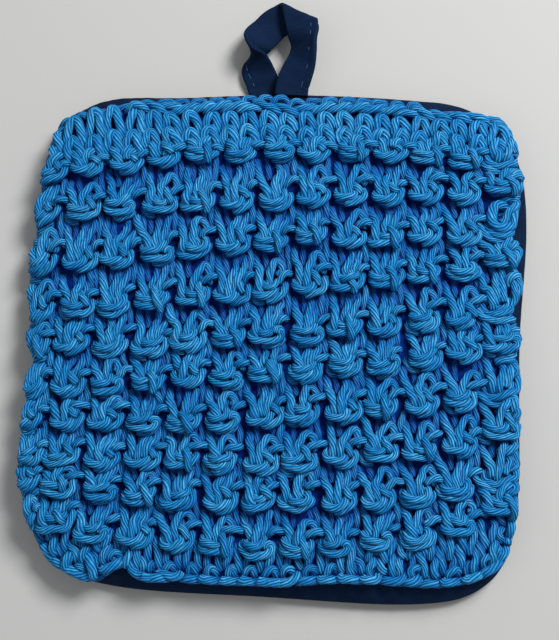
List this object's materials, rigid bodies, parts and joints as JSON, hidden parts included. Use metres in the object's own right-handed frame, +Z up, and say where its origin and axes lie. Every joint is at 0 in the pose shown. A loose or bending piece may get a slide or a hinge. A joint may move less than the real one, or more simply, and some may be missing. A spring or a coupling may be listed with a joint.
{
  "type": "knit potholder",
  "caption": "Square padded potholder: a thick knotted knit front sewn on a filled cloth backing, with a twisted tape hanging loop in the top seam.",
  "frame": {"origin": "middle of the footprint, on the surface that the potholder lies on", "axes": "+Z up out of the knit front, +Y across the potholder towards its hanging loop, +X across it to the right"},
  "size_m": [0.174, 0.2134, 0.0165],
  "materials": {
    "backing_cloth": "plain woven cotton, matte",
    "knit_yarn": "plied cotton yarn, matte with a faint sheen",
    "loop_tape": "folded cotton tape, matte"
  },
  "bodies": {
    "root": {"backing_pad": "backing_cloth", "knit_panel": "knit_yarn", "hanging_loop": "loop_tape"}
  },
  "joints": []
}
